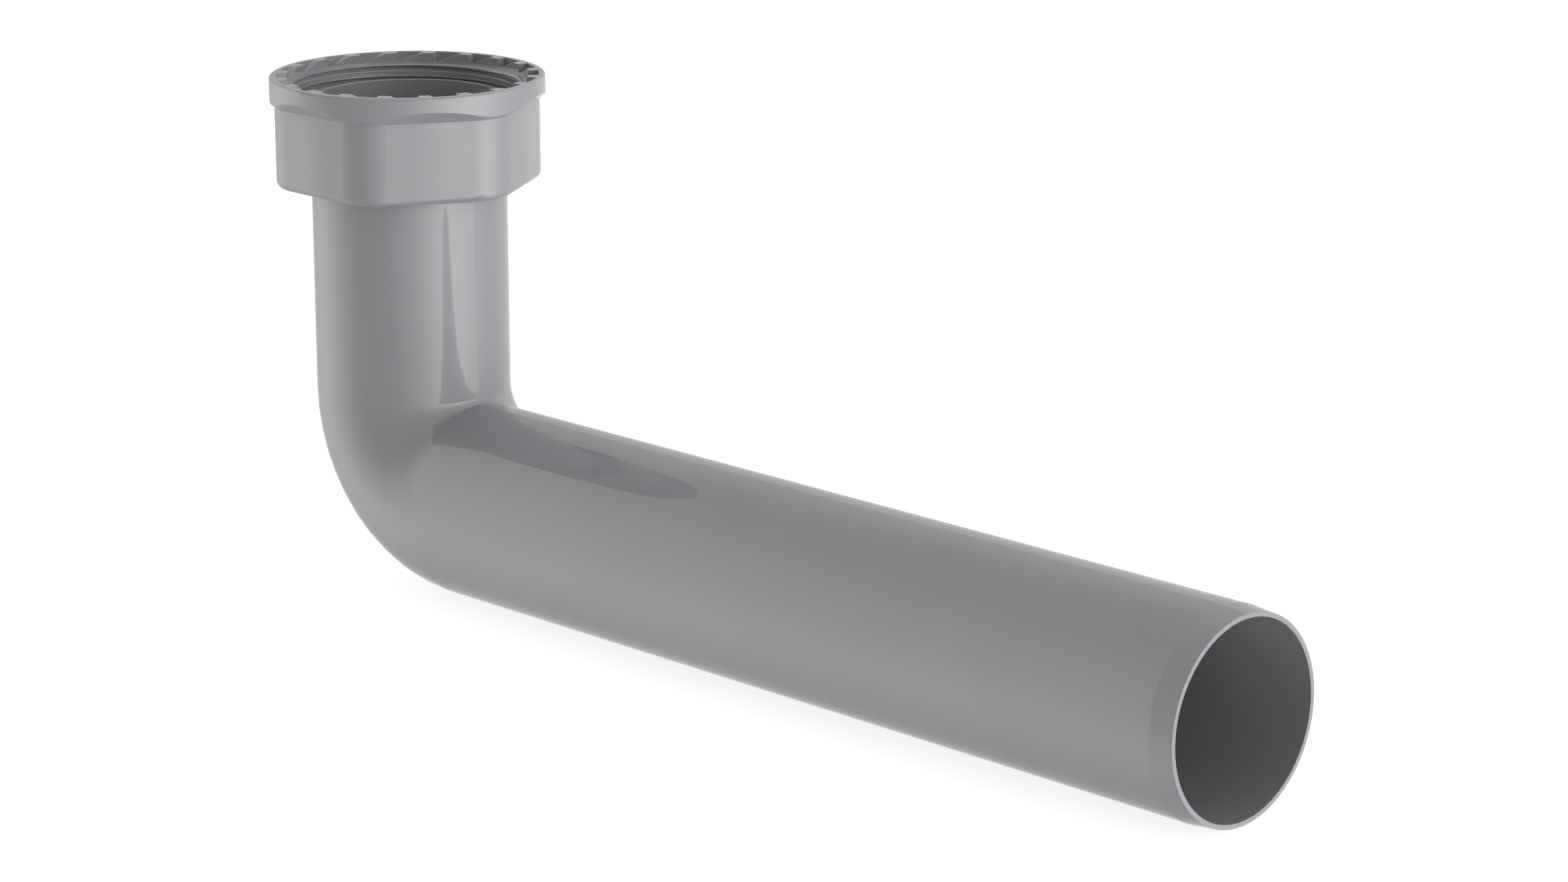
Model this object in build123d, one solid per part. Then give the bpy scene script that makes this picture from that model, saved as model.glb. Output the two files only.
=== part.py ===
"""Waste outlet bend: a 90 degree outlet pipe, its union nut and the sealing ring inside the nut.

Millimetres, +Z up. The origin is the centre of the inlet end of the pipe, which is on the axis
of the union nut. The inlet leg runs down from it, and the outlet leg runs along +X.
"""
from build123d import *
from math import cos, radians, tan
import os

# Pipe
pipe_diameter = 40.0
pipe_wall = 1.4
inlet_height = 81.3  # inlet end above the axis of the outlet leg
outlet_reach = 221.7  # outlet end from the axis of the inlet leg
throat_radius = 1.2  # inside of the elbow, on the pipe's outer wall
lead_in_length = 5.0  # taper at the outlet end, which helps the pipe into a socket
lead_in_depth = 0.5
inlet_edge_chamfer = 0.2

# Sealing ring, a wedge section that the nut squeezes against the pipe
ring_wall = 2.5
ring_height = 8.0
ring_band_height = 3.0  # straight band below the cone
ring_lip = 0.7  # thickness left at the top of the cone
ring_pipe_clearance = 0.15
ring_nut_clearance = 0.2

# Union nut
nut_rise = 4.5  # rim above the inlet end of the pipe
nut_height = 22.4
nut_pipe_clearance = 0.45
floor_thickness = 2.9
thread_depth = 1.1
flat_wall = 0.95  # between the thread's root and the middle of a flat
collar_wall = 4.15
flats_height = 16.8
shoulder_angle = 38.7  # of the sloping shoulder under the collar, from level
shoulder_overrun = 0.5  # the slope carries on this far above where mid-flat meets the collar
corner_radius = 9.5
foot_radius = 1.6
rim_edge_radius = 0.4

# Ratchet ring in the mouth of the nut
tooth_count = 20
tooth_depth = 1.8
ramp_run = 5.5
pocket_foot = 0.6  # level strip between the step and the ramp
tooth_step_angle = 0.75  # first step's angle from +X
rim_wall = 1.35  # outside the teeth
tooth_width = 1.95  # radial
mouth_floor_depth = 2.0

# Worked out
pipe_radius = pipe_diameter / 2
bore_radius = pipe_radius - pipe_wall
bend_radius = pipe_radius + throat_radius
ring_bore_radius = pipe_radius + ring_pipe_clearance
ring_outer_radius = ring_bore_radius + ring_wall
chamber_radius = ring_outer_radius + ring_nut_clearance
thread_radius = chamber_radius + thread_depth
flat_distance = thread_radius + flat_wall
collar_radius = thread_radius + collar_wall
pocket_radius = collar_radius - rim_wall
mouth_radius = pocket_radius - tooth_width
rim_level = nut_rise
foot_level = rim_level - nut_height
seat_level = foot_level + floor_thickness
ring_top_level = seat_level + ring_height
flats_level = foot_level + flats_height
mouth_floor_level = rim_level - mouth_floor_depth


def disc(radius, bottom, top):
    """A cylinder about Z between two levels."""
    return Pos(0, 0, bottom) * Cylinder(radius, top - bottom, align=(Align.CENTER, Align.CENTER, Align.MIN))


def pipe_run(radius):
    """A solid rod of the given radius along the whole centre line of the bend."""
    elbow_start = (0, 0, -inlet_height + bend_radius)
    elbow_end = (bend_radius, 0, -inlet_height)
    inlet_leg = Line((0, 0, 0), elbow_start)
    elbow = TangentArc(elbow_start, elbow_end, tangent=(0, 0, -1))
    outlet_leg = Line(elbow_end, (outlet_reach, 0, -inlet_height))
    return sweep(Plane.XY * Circle(radius), path=inlet_leg + elbow + outlet_leg)


def lead_in_cut():
    """What the taper at the outlet end takes off the pipe."""
    taper_start = outlet_reach - lead_in_length
    outline = Polyline(
        (taper_start, pipe_radius),
        (outlet_reach, pipe_radius - lead_in_depth),
        (outlet_reach, pipe_radius + pipe_wall),
        (taper_start, pipe_radius + pipe_wall),
        close=True,
    )
    cut = revolve(Plane.XZ * make_face(outline), axis=Axis.X)
    return Pos(0, 0, -inlet_height) * cut


def outlet_bend():
    """The pipe: an inlet leg, a tight elbow and a long outlet leg with a tapered end."""
    rod = pipe_run(pipe_radius)
    inlet_edge = rod.edges().filter_by(GeomType.CIRCLE).sort_by(Axis.Z)[-1]
    rod = chamfer(inlet_edge, inlet_edge_chamfer)
    return rod - pipe_run(bore_radius) - lead_in_cut()


def rounded_hexagon():
    """The nut's outline across its flats, with a flat facing 30 degrees from +X."""
    corner_distance = flat_distance / cos(radians(30))
    outline = RegularPolygon(corner_distance, 6, rotation=0)
    return fillet(outline.vertices(), corner_radius)


def nut_body():
    """The nut without its bores: flats below, a sloping shoulder and a round collar."""
    slope_rise = (collar_radius - flat_distance) * tan(radians(shoulder_angle))
    shoulder_height = slope_rise + shoulder_overrun
    flats = extrude(Pos(0, 0, foot_level) * rounded_hexagon(), amount=flats_height)
    foot_edges = flats.edges().group_by(Axis.Z)[0]
    flats = fillet(foot_edges, foot_radius)
    shoulder = extrude(
        Pos(0, 0, flats_level) * rounded_hexagon(),
        amount=shoulder_height,
        taper=shoulder_angle - 90,
    )
    shoulder = shoulder & disc(collar_radius, flats_level, flats_level + shoulder_height)
    collar = disc(collar_radius, flats_level + shoulder_height, rim_level)
    rim_edge = collar.edges().filter_by(GeomType.CIRCLE).sort_by(Axis.Z)[-1]
    collar = fillet(rim_edge, rim_edge_radius)
    return flats + shoulder + collar


def ratchet_pocket():
    """The triangular pocket beside the tooth step on +X: a sheer step and a ramp back up."""
    above = rim_level + tooth_depth
    outline = Polyline(
        (0, above),
        (0, rim_level - tooth_depth),
        (-pocket_foot, rim_level - tooth_depth),
        (-ramp_run, rim_level),
        (-ramp_run, above),
        close=True,
    )
    wedge = extrude(Plane.YZ * make_face(outline), amount=pocket_radius)
    return wedge & disc(pocket_radius, rim_level - tooth_depth, above)


def union_nut():
    """The nut, with its seat for the sealing ring, its thread bore and its ratchet ring."""
    nut = nut_body()
    nut -= disc(pipe_radius + nut_pipe_clearance, foot_level, rim_level)
    nut -= disc(chamber_radius, seat_level, rim_level)
    nut -= disc(thread_radius, ring_top_level, rim_level)
    nut -= disc(mouth_radius, mouth_floor_level, rim_level)
    pockets = PolarLocations(0, tooth_count, start_angle=tooth_step_angle) * ratchet_pocket()
    return nut - pockets


def sealing_ring():
    """The wedge ring: a flat foot on the nut's floor, a straight band and a cone above it."""
    section = Polyline(
        (ring_bore_radius, seat_level),
        (ring_outer_radius, seat_level),
        (ring_outer_radius, seat_level + ring_band_height),
        (ring_bore_radius + ring_lip, ring_top_level),
        (ring_bore_radius, ring_top_level),
        close=True,
    )
    return revolve(Plane.XZ * make_face(section), axis=Axis.Z)


pieces = {
    "outlet_bend": outlet_bend(),
    "union_nut": union_nut(),
    "sealing_ring": sealing_ring(),
}
os.makedirs("parts", exist_ok=True)
for name, piece in pieces.items():
    export_step(piece, f"parts/{name}.step")
    print(name, "volume", round(piece.volume, 1), "valid", piece.is_valid)
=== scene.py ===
# %% [markdown]
# Waste outlet bend, finished in Blender.
#
# The object is a short elbow of grey waste pipe with a loose union nut on its upright leg.
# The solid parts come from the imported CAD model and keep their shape. This file gives them
# their plastic, adds the thread inside the nut, and sets up the floor, light and camera.
# Every length is in metres. +Z is up, and zero is the centre of the pipe's upright end.

import math

import bmesh
import bpy
import numpy as np
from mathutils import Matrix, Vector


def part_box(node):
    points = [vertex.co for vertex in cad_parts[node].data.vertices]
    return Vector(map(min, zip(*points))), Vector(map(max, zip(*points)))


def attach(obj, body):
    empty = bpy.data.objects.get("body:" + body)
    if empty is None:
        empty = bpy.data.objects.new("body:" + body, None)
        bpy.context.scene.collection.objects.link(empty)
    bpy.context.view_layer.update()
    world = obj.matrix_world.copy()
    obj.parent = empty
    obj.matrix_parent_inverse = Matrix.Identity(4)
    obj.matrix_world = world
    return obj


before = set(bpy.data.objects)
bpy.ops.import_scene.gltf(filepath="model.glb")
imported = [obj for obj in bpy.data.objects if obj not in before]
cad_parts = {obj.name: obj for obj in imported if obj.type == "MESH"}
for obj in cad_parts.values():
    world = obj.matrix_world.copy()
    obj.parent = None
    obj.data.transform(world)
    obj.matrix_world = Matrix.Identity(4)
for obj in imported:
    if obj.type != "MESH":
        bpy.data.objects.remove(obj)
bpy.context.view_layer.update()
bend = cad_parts["outlet_bend"]
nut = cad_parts["union_nut"]
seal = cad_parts["sealing_ring"]
print("CAD nodes:", ", ".join(sorted(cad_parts)))

# %% [markdown]
# Lengths on the real part are small, so the values below are written in millimetres and
# one helper turns them into metres. Colours are picked as sRGB hex codes, the way a paint
# or plastics chart gives them, and Blender's nodes want linear light, so one function
# converts them.

# %% Millimetres and colours
def mm(length):
    """A length given in millimetres, in metres."""
    return length / 1000.0


def colour(hex_code):
    """An sRGB hex colour as linear red, green, blue and alpha."""
    linear = []
    for place in (1, 3, 5):
        value = int(hex_code[place:place + 2], 16) / 255.0
        linear.append(value / 12.92 if value <= 0.04045 else ((value + 0.055) / 1.055) ** 2.4)
    return (*linear, 1.0)


print("mid grey in linear light:", [round(part, 3) for part in colour("#949397")])

# %% [markdown]
# A material is a small graph of nodes. Adding a node always takes the same three steps:
# make it, set its values, join it to the nodes before it. One helper does all three, so
# the graphs below read as a list of what each node does.

# %% One helper for every node
def add_node(tree, kind, values=None, links=None, **settings):
    """Adds a node of this kind, fills in its values and joins its inputs to other nodes' outputs."""
    node = tree.nodes.new(kind)
    for name, value in settings.items():
        setattr(node, name, value)
    for socket, value in (values or {}).items():
        node.inputs[socket].default_value = value
    for socket, source in (links or {}).items():
        tree.links.new(source, node.inputs[socket])
    return node


def empty_material(name):
    """A node material with nothing in it yet."""
    material = bpy.data.materials.new(name)
    material.use_nodes = True
    material.node_tree.nodes.clear()
    return material


def per_metre(size_mm):
    """The scale that makes a noise pattern's features about this many millimetres across."""
    return 1000.0 / size_mm


print("noise scale for features 1 mm across:", per_metre(1.0))

# %% [markdown]
# The bend and the nut are injection moulded in grey polypropylene. Polypropylene has an
# IOR of about 1.49, and comes out of a polished steel mould almost as glossy as the steel:
# the leg is mirrored in the long pipe, with clean edges. The IOR is set a little higher,
# at 1.53, because the reflections in the photograph are that much stronger.
#
# One flat grey would look like paint. Real pigment is a little uneven over a few
# centimetres, where the melt flowed, and the mould's polish varies over about a
# centimetre, which moves the gloss slightly. Two soft noises give both.

# %% The plastic's grey and gloss
dark_grey = "#939296"
light_grey = "#959498"
plastic_ior = 1.53
glossiest = 0.035
dullest = 0.055


def uneven_pigment(tree, place):
    """A grey that drifts between two close shades, as the melt left it."""
    flow = add_node(
        tree,
        "ShaderNodeTexNoise",
        {"Scale": per_metre(22.0), "Detail": 3.0, "Roughness": 0.45, "Distortion": 0.6},
        {"Vector": place},
    )
    pigment = add_node(tree, "ShaderNodeValToRGB", links={"Fac": flow.outputs["Fac"]})
    pigment.color_ramp.elements[0].position = 0.35
    pigment.color_ramp.elements[0].color = colour(dark_grey)
    pigment.color_ramp.elements[1].position = 0.65
    pigment.color_ramp.elements[1].color = colour(light_grey)
    return pigment.outputs["Color"]


def drifting_gloss(tree, place):
    """A roughness that follows the mould's polish."""
    polish = add_node(
        tree,
        "ShaderNodeTexNoise",
        {"Scale": per_metre(9.0), "Detail": 4.0, "Roughness": 0.6},
        {"Vector": place},
    )
    gloss = add_node(
        tree,
        "ShaderNodeMapRange",
        {"From Min": 0.3, "From Max": 0.7, "To Min": glossiest, "To Max": dullest},
        {"Value": polish.outputs["Fac"]},
    )
    return gloss.outputs["Result"]


print("plastic from", dark_grey, "to", light_grey, "with a roughness of", glossiest, "to", dullest)

# %% [markdown]
# The skin has a faint orange peel about 3 mm across, and a grain from the mould that is
# really about 0.05 mm and is drawn at 0.4 mm, because anything finer is smaller than a
# pixel.
#
# A mould can't make a knife edge either. The solids have sharp edges round the nut's small
# teeth, and the Bevel node rounds the light on them, for far less work than cutting every
# edge: it looks a fraction of a millimetre to each side and blends the directions it finds.
# Each step below bends the surface direction that the step before it made.

# %% The plastic's skin
def moulded_skin(tree, place, edge_radius, bow):
    """The surface direction: rounded edges, then a bow where one is asked for, then peel and grain."""
    beneath = {}
    if edge_radius:
        rounded = add_node(tree, "ShaderNodeBevel", {"Radius": edge_radius}, samples=6)
        beneath = {"Normal": rounded.outputs["Normal"]}
    if bow:
        beneath = {"Normal": bow(tree, place, beneath)}
    peel = add_node(
        tree,
        "ShaderNodeTexNoise",
        {"Scale": per_metre(3.0), "Detail": 1.0},
        {"Vector": place},
    )
    grain = add_node(
        tree,
        "ShaderNodeTexNoise",
        {"Scale": per_metre(0.4), "Detail": 2.0, "Roughness": 0.7},
        {"Vector": place},
    )
    peel_bump = add_node(
        tree,
        "ShaderNodeBump",
        {"Strength": 0.02, "Distance": mm(0.05)},
        {"Height": peel.outputs["Fac"], **beneath},
    )
    grain_bump = add_node(
        tree,
        "ShaderNodeBump",
        {"Strength": 0.02, "Distance": mm(0.02)},
        {"Height": grain.outputs["Fac"], "Normal": peel_bump.outputs["Normal"]},
    )
    return grain_bump.outputs["Normal"]


print("skin: orange peel 3 mm across, grain drawn at 0.4 mm")

# %% [markdown]
# The nut's flats are not quite flat. Each one bows outward by about 0.4 mm between its ends
# and its middle, which shows only as a slow change of light across it. Six flats go round
# in a turn, so the cosine of six times the bearing has the shape of that bow, and a bump
# is enough for a rise this small. Above the flats the nut is round, and the bump is
# switched off there.

# %% Bow of the nut's flats
# The cosine swings this far to each side, and the flats' straight part has three quarters of it.
bow_swing = mm(0.28)
top_of_flats = mm(-1.1)


def bowed_flats(tree, place, beneath):
    """The surface direction with six flats bowed outward, below the level where the shoulder starts."""
    split = add_node(tree, "ShaderNodeSeparateXYZ", links={0: place})
    bearing = add_node(
        tree,
        "ShaderNodeMath",
        links={0: split.outputs["Y"], 1: split.outputs["X"]},
        operation="ARCTAN2",
    )
    # Adding half a turn puts the crests on the flats, which face 30 degrees from the corners.
    sixfold = add_node(
        tree,
        "ShaderNodeMath",
        {1: 6.0, 2: math.pi},
        {0: bearing.outputs[0]},
        operation="MULTIPLY_ADD",
    )
    bow = add_node(tree, "ShaderNodeMath", links={0: sixfold.outputs[0]}, operation="COSINE")
    on_flats = add_node(
        tree,
        "ShaderNodeMath",
        {1: top_of_flats},
        {0: split.outputs["Z"]},
        operation="LESS_THAN",
    )
    bump = add_node(
        tree,
        "ShaderNodeBump",
        {"Distance": bow_swing},
        {"Height": bow.outputs[0], "Strength": on_flats.outputs[0], **beneath},
    )
    return bump.outputs["Normal"]


print("bow from corner to middle of a flat, in mm:", round(2000 * bow_swing, 2))

# %% [markdown]
# The plastic is one recipe with three uses. The pipe and the nut have their edges rounded,
# the nut has its bow as well, and the thread needs neither, because its edges are already
# round in its mesh.

# %% Moulded polypropylene
def moulded_polypropylene(name, edge_radius=None, bow=None):
    """Grey waste-pipe plastic from a polished mould."""
    material = empty_material(name)
    tree = material.node_tree
    place = add_node(tree, "ShaderNodeTexCoord").outputs["Object"]
    plastic = add_node(
        tree,
        "ShaderNodeBsdfPrincipled",
        {"IOR": plastic_ior},
        {
            "Base Color": uneven_pigment(tree, place),
            "Roughness": drifting_gloss(tree, place),
            "Normal": moulded_skin(tree, place, edge_radius, bow),
        },
    )
    add_node(tree, "ShaderNodeOutputMaterial", links={"Surface": plastic.outputs["BSDF"]})
    return material


pipe_plastic = moulded_polypropylene("moulded_polypropylene_pipe", edge_radius=mm(0.15))
nut_plastic = moulded_polypropylene("moulded_polypropylene_nut", edge_radius=mm(0.16), bow=bowed_flats)
thread_plastic = moulded_polypropylene("moulded_polypropylene_thread")
print("plastics:", pipe_plastic.name, nut_plastic.name, thread_plastic.name)

# %% [markdown]
# The sealing ring sits deep inside the nut and only shows as a dark line in the gap beside
# the pipe. It is moulded rubber, filled with carbon black: nearly black, with a dull sheen
# and a dusty bloom that comes and goes over a few millimetres.

# %% Moulded black rubber
def moulded_rubber(name):
    """Carbon-black sealing rubber with a faint bloom and a fine moulded grain."""
    material = empty_material(name)
    tree = material.node_tree
    place = add_node(tree, "ShaderNodeTexCoord").outputs["Object"]
    bloom = add_node(
        tree,
        "ShaderNodeTexNoise",
        {"Scale": per_metre(5.0), "Detail": 5.0, "Roughness": 0.65},
        {"Vector": place},
    )
    tint = add_node(tree, "ShaderNodeValToRGB", links={"Fac": bloom.outputs["Fac"]})
    tint.color_ramp.elements[0].position = 0.4
    tint.color_ramp.elements[0].color = colour("#171718")
    tint.color_ramp.elements[1].position = 0.75
    tint.color_ramp.elements[1].color = colour("#242425")
    dullness = add_node(
        tree,
        "ShaderNodeMapRange",
        {"To Min": 0.55, "To Max": 0.72},
        {"Value": bloom.outputs["Fac"]},
    )
    grain = add_node(
        tree,
        "ShaderNodeTexNoise",
        {"Scale": per_metre(0.6), "Detail": 3.0},
        {"Vector": place},
    )
    skin = add_node(
        tree,
        "ShaderNodeBump",
        {"Strength": 0.15, "Distance": mm(0.05)},
        {"Height": grain.outputs["Fac"]},
    )
    rubber = add_node(
        tree,
        "ShaderNodeBsdfPrincipled",
        {"IOR": 1.52},
        {
            "Base Color": tint.outputs["Color"],
            "Roughness": dullness.outputs["Result"],
            "Normal": skin.outputs["Normal"],
        },
    )
    add_node(tree, "ShaderNodeOutputMaterial", links={"Surface": rubber.outputs["BSDF"]})
    return material


seal_rubber = moulded_rubber("moulded_black_rubber")
print("rubber:", seal_rubber.name)

# %% [markdown]
# The CAD nodes keep their meshes. Each one only gets its finish, in place of the plain
# colour that it was packed with.

# %% Finish the CAD parts
def finish_part(part, material):
    """Puts one material on a whole part."""
    part.data.materials.clear()
    part.data.materials.append(material)


finish_part(bend, pipe_plastic)
finish_part(nut, nut_plastic)
finish_part(seal, seal_rubber)
print("finished:", bend.name, nut.name, seal.name)

# %% [markdown]
# Inside its mouth the real nut has a pipe thread with 11 turns to the inch. The CAD nut
# has the plain bore at the thread's root, so the ridge is made here as a thin liner.
#
# A thread could be a profile swept along a helix, but its ends would then need trimming.
# Instead each point of the liner's wall asks how far down from the groove's edge it lies,
# and that distance gives its radius. The rows of points follow the helix, so the edges
# stay sharp, and they are held between the liner's top and bottom, where the thread runs
# out by itself as it does in a mould. Just above each groove the crest has a bead a
# twentieth of a millimetre high, which draws the thin line of light seen there.

# %% The nut's thread: sizes
thread_pitch = mm(25.4 / 11.0)
crest_radius = mm(22.85)
groove_depth = mm(0.95)
groove_width = mm(1.0)
edge_round = mm(0.14)
bead_height = mm(0.05)
lip_radius = mm(0.36)
liner_outside = mm(23.93)
liner_top = mm(2.5)
liner_bottom = mm(-6.95)
groove_start_height = mm(2.14)
groove_start_angle = math.radians(135.0)
print("thread pitch in mm:", round(1000 * thread_pitch, 3))

# %% The nut's thread: one turn of the groove
# Each pair is a distance down from the groove's upper edge and the groove's depth there.
# The bead comes last, because it stands above the groove of the next turn down.
groove = [
    (0.0, 0.35 * edge_round),
    (0.35 * edge_round, edge_round),
    (0.40 * groove_width, 0.93 * groove_depth),
    (0.50 * groove_width, groove_depth),
    (0.60 * groove_width, 0.93 * groove_depth),
    (groove_width - 0.35 * edge_round, edge_round),
    (groove_width, 0.35 * edge_round),
    (groove_width + 0.6 * edge_round, 0.08 * edge_round),
    (groove_width + edge_round, 0.0),
    (groove_width + 1.4 * edge_round, 0.0),
    (thread_pitch - 2.8 * edge_round, 0.0),
    (thread_pitch - 2.4 * edge_round, 0.0),
    (thread_pitch - 1.6 * edge_round, -bead_height),
    (thread_pitch - 0.6 * edge_round, -bead_height),
]
print("root radius in mm:", round(1000 * (crest_radius + groove_depth), 2))

# %% The nut's thread: radius of the wall
def groove_edge(angle):
    """The height of the groove's upper edge at an angle round the axis."""
    return groove_start_height + thread_pitch * (angle - groove_start_angle) / (2 * math.pi)


def wall_radius(angle, height):
    """The liner's inside radius at an angle and a height, with the rounded lip at its top."""
    down = (groove_edge(angle) - height) % thread_pitch
    closed = groove + [(thread_pitch, groove[0][1])]
    depth = np.interp(down, [point[0] for point in closed], [point[1] for point in closed])
    above = max(height - (liner_top - lip_radius), 0.0)
    lip = lip_radius - math.sqrt(max(lip_radius ** 2 - above ** 2, 0.0))
    return crest_radius + (max(depth, lip) if above > 0.0 else depth)


print("radius at the lip in mm:", round(1000 * wall_radius(0.0, liner_top), 2))

# %% The nut's thread: one column of points
lip_rows = [liner_top - lip_radius * share for share in (0.0, 0.05, 0.17, 0.33, 0.5, 0.75, 1.0)]
turns = math.ceil((liner_top - liner_bottom) / thread_pitch) + 2


def column_heights(angle):
    """Heights down the liner's wall: level rows round the lip, then rows that follow the helix."""
    rows = list(lip_rows)
    for turn in range(turns):
        for down, _ in groove:
            height = groove_edge(angle) + (2 - turn) * thread_pitch - down
            rows.append(min(max(height, liner_bottom), lip_rows[-1]))
    return rows


def ring_point(radius, angle, height):
    """A point at a radius, angle and height round the nut's axis."""
    return (radius * math.cos(angle), radius * math.sin(angle), height)


print("rows in a column:", len(column_heights(0.0)))

# %% The nut's thread: join the columns
def thread_liner(columns=288):
    """A closed ring whose inside wall carries the helical groove."""
    points, faces = [], []
    level, count = len(lip_rows), len(column_heights(0.0))
    stride = count + 2
    for column in range(columns):
        angle = 2 * math.pi * column / columns
        for height in column_heights(angle):
            points.append(ring_point(wall_radius(angle, height), angle, height))
        points.append(ring_point(liner_outside, angle, liner_bottom))
        points.append(ring_point(liner_outside, angle, liner_top))
        here, there = column * stride, (column + 1) % columns * stride
        last = column == columns - 1
        for row in range(count - 1):
            # One turn of the helix is one pitch, so the last column meets the first a turn up.
            other = row - len(groove) if last and row >= level else row
            if other >= level or row < level:
                faces.append((here + row, there + other, there + other + 1, here + row + 1))
        faces.append((here + count - 1, there + count - 1, there + count, here + count))
        faces.append((here + count, there + count, there + count + 1, here + count + 1))
        faces.append((here + count + 1, there + count + 1, there, here))
    mesh = bpy.data.meshes.new("thread_liner")
    mesh.from_pydata(points, [], faces)
    return mesh


liner = bpy.data.objects.new("thread_liner", thread_liner())
bpy.context.scene.collection.objects.link(liner)
print("points in the raw liner:", len(liner.data.vertices))

# %% [markdown]
# Rows that were held at the liner's ends now lie on top of each other, so doubled points
# are merged. The faces are turned outward and shaded smooth, all but the sharp edges. The
# liner then rides the nut's body, so it turns and slides with the nut.

# %% The nut's thread: clean, smooth and fit
merge_distance = mm(0.002)
sharp_edge_angle = math.radians(35.0)


def clean_and_smooth(mesh):
    """Merges doubled points, turns the faces outward and smooths all but the sharp edges."""
    work = bmesh.new()
    work.from_mesh(mesh)
    bmesh.ops.remove_doubles(work, verts=work.verts, dist=merge_distance)
    bmesh.ops.recalc_face_normals(work, faces=work.faces)
    work.to_mesh(mesh)
    work.free()
    mesh.polygons.foreach_set("use_smooth", [True] * len(mesh.polygons))
    mesh.set_sharp_from_angle(angle=sharp_edge_angle)


clean_and_smooth(liner.data)
finish_part(liner, thread_plastic)
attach(liner, "nut")
print("thread liner faces:", len(liner.data.polygons))

# %% [markdown]
# A real studio table is lit until it reads as pure white. Here the plastic must keep its
# own grey, so the light stays at a plain level, and only the eye sees the extra white. The
# Light Path node tells which kind of ray is asking. Both the floor and the world use this.

# %% What the eye sees
def seen_by_eye(tree):
    """1 for a ray from the camera or one that went through something clear, and 0 for the rest."""
    rays = add_node(tree, "ShaderNodeLightPath")
    seen = add_node(
        tree,
        "ShaderNodeMath",
        links={0: rays.outputs["Is Camera Ray"], 1: rays.outputs["Is Transmission Ray"]},
        operation="MAXIMUM",
    )
    return seen.outputs[0]


pure_white = colour("#ffffff")
print("white for the eye:", pure_white)

# %% [markdown]
# The part stands on white paper, which is matt and has soft fibres a few millimetres long.
# The shadow stays on it, because the added white sits on top of the lit paper.

# %% White paper
def white_paper(name, tint, added_white):
    """Matt paper that looks white to the camera and through clear things, and keeps its shadows."""
    material = empty_material(name)
    tree = material.node_tree
    place = add_node(tree, "ShaderNodeTexCoord").outputs["Object"]
    fibres = add_node(
        tree,
        "ShaderNodeTexNoise",
        {"Scale": per_metre(4.0), "Detail": 3.0},
        {"Vector": place},
    )
    skin = add_node(
        tree,
        "ShaderNodeBump",
        {"Strength": 0.02, "Distance": mm(0.05)},
        {"Height": fibres.outputs["Fac"]},
    )
    paper = add_node(
        tree,
        "ShaderNodeBsdfDiffuse",
        {"Color": colour(tint)},
        {"Normal": skin.outputs["Normal"]},
    )
    amount = add_node(
        tree,
        "ShaderNodeMath",
        {1: added_white},
        {0: seen_by_eye(tree)},
        operation="MULTIPLY",
    )
    white = add_node(tree, "ShaderNodeEmission", {"Color": pure_white}, {"Strength": amount.outputs[0]})
    both = add_node(tree, "ShaderNodeAddShader", links={0: paper.outputs[0], 1: white.outputs[0]})
    add_node(tree, "ShaderNodeOutputMaterial", links={"Surface": both.outputs[0]})
    return material


paper_white = white_paper("white_paper", "#f4f4f4", 0.66)
print("paper:", paper_white.name)

# %% [markdown]
# The floor is one flat sheet of that paper at the level of the part's lowest point. It is
# 12 metres wide, so that it has no edge in view. A plane with four corners is all it needs.

# %% Floor
floor_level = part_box("outlet_bend")[0].z
half_floor = 6.0
floor_corners = [
    (-half_floor, -half_floor, floor_level),
    (half_floor, -half_floor, floor_level),
    (half_floor, half_floor, floor_level),
    (-half_floor, half_floor, floor_level),
]
paper_mesh = bpy.data.meshes.new("paper_floor")
paper_mesh.from_pydata(floor_corners, [], [(0, 1, 2, 3)])
paper_floor = bpy.data.objects.new("paper_floor", paper_mesh)
bpy.context.scene.collection.objects.link(paper_floor)
finish_part(paper_floor, paper_white)
# The world's lit table lights the part from below, so the paper only has to be seen.
paper_floor.visible_diffuse = False
paper_floor.visible_glossy = False
paper_floor.visible_shadow = False
print("floor height in mm:", round(1000 * floor_level, 1))

# %% [markdown]
# Glossy plastic is mostly a picture of the room round it, so the room matters as much as
# the colour. Area lamps would do, but their square outlines would show in the gloss, and
# the photograph has none. So the room is painted into the world: each soft light is a
# smooth patch, brightest at its middle. A direction's nearness to that middle is a dot
# product, and raising it to a power sets how quickly the patch fades: 4 is about as wide
# as a window close by.

# %% One soft patch of light
def glow(tree, towards, bearing, rise, strength, fading):
    """How bright a soft patch at this bearing and rise is for a ray that looks towards a direction."""
    across, up = math.radians(bearing), math.radians(rise)
    middle = (math.cos(across) * math.cos(up), math.sin(across) * math.cos(up), math.sin(up))
    nearness = add_node(
        tree,
        "ShaderNodeVectorMath",
        {1: middle},
        {0: towards},
        operation="DOT_PRODUCT",
    )
    ahead = add_node(tree, "ShaderNodeMath", {1: 0.0}, {0: nearness.outputs["Value"]}, operation="MAXIMUM")
    faded = add_node(tree, "ShaderNodeMath", {1: fading}, {0: ahead.outputs[0]}, operation="POWER")
    return add_node(tree, "ShaderNodeMath", {1: strength}, {0: faded.outputs[0]}, operation="MULTIPLY")


def added_up(tree, parts):
    """One value that is the sum of several nodes' values."""
    total = parts[0]
    for part in parts[1:]:
        both = {0: total.outputs[0], 1: part.outputs[0]}
        total = add_node(tree, "ShaderNodeMath", links=both, operation="ADD")
    return total


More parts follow.
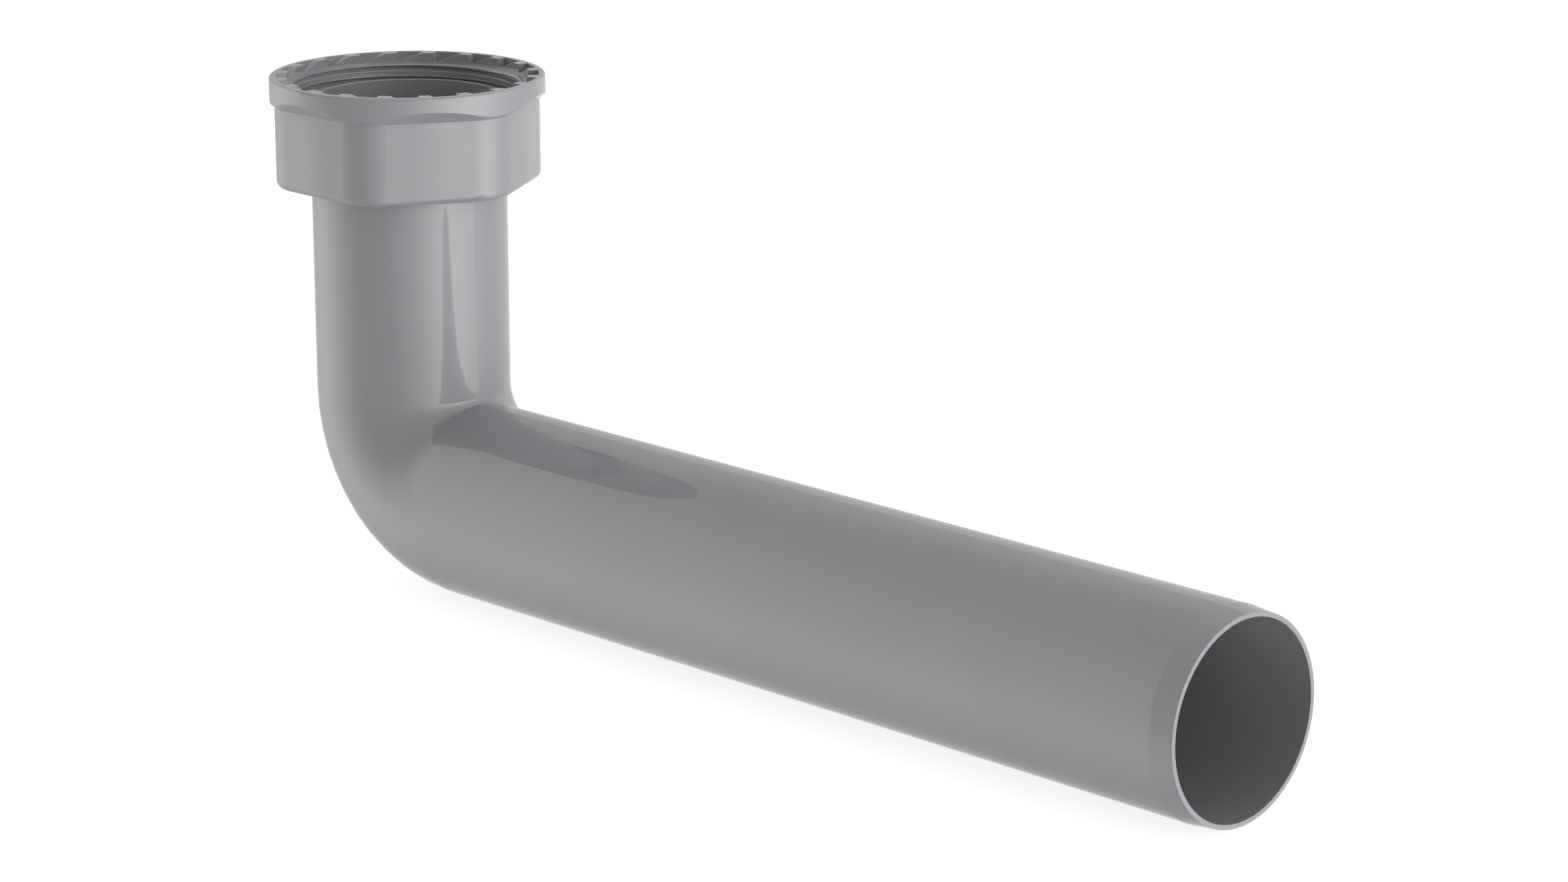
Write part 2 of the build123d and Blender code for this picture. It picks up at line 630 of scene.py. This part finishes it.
# Each is a bearing from +X, a rise above level, a strength and how fast it fades.
window_right = (15.0, 5.0, 1.5, 8.0)
window_left = (203.0, 10.0, 1.63, 6.0)
wall_behind = (85.0, 25.0, 0.58, 4.0)
ceiling_lamp = (90.0, 75.0, 0.53, 6.0)
ceiling = (0.0, 90.0, 0.34, 1.0)
table_right = (5.0, -18.0, 2.65, 4.0)
table_left = (218.0, -25.0, 0.85, 4.0)
table_left_middle = (225.0, -25.0, 0.38, 10.0)
table_behind = (110.0, -15.0, 0.28, 4.0)
table_far_left = (140.0, -20.0, 0.26, 10.0)
table_front = (300.0, -25.0, 0.28, 4.0)
room_lights = [window_right, window_left, wall_behind, ceiling_lamp, ceiling]
table_light = [table_right, table_left, table_left_middle, table_behind, table_far_left, table_front]
print("soft patches of light:", len(room_lights) + len(table_light))

# %% [markdown]
# The windows and the wall stand above level. The lit table fills the lower half of the
# world: it throws light up on the part's lower curves, and the gloss shows it as a pale
# band there. The same world serves every ray that lights the part. Only the camera and
# transmission rays see it as pure white, and glossy rays see some of that white as well.

# %% Studio room
def studio_room(name, white_in_gloss):
    """A world of soft lights over a lit table, and pure white for the eye."""
    world = bpy.data.worlds.new(name)
    world.use_nodes = True
    tree = world.node_tree
    tree.nodes.clear()
    towards = add_node(tree, "ShaderNodeTexCoord").outputs["Generated"]
    lights = added_up(tree, [glow(tree, towards, *patch) for patch in room_lights + table_light])
    rays = add_node(tree, "ShaderNodeLightPath")
    white = add_node(
        tree,
        "ShaderNodeMath",
        {1: white_in_gloss},
        {0: rays.outputs["Is Glossy Ray"]},
        operation="MULTIPLY",
    )
    room = added_up(tree, [lights, white])
    lit = add_node(tree, "ShaderNodeBackground", {"Color": pure_white}, {"Strength": room.outputs[0]})
    plain = add_node(tree, "ShaderNodeBackground", {"Color": pure_white, "Strength": 1.0})
    mixed = add_node(
        tree,
        "ShaderNodeMixShader",
        links={0: seen_by_eye(tree), 1: lit.outputs[0], 2: plain.outputs[0]},
    )
    add_node(tree, "ShaderNodeOutputWorld", links={"Surface": mixed.outputs[0]})
    bpy.context.scene.world = world
    return world


print("world:", studio_room("studio_room", 0.34).name)

# %% [markdown]
# The camera stands where the photograph was taken from: in front and to the right, looking
# down at 15 degrees with a long lens, so the part is drawn with little perspective.

# %% Camera
lens = bpy.data.cameras.new("photo_camera")
lens.lens = 99.56
lens.sensor_width = 36.0
lens.clip_start = 0.05
lens.clip_end = 50.0
camera = bpy.data.objects.new("photo_camera", lens)
camera.location = (0.67116, -0.56263, 0.16086)
camera.rotation_euler = (math.radians(75.0), 0.0, math.radians(45.0))
bpy.context.scene.collection.objects.link(camera)
bpy.context.scene.camera = camera
bpy.context.scene.view_settings.view_transform = "Standard"
print("camera at", [round(value, 3) for value in camera.location])
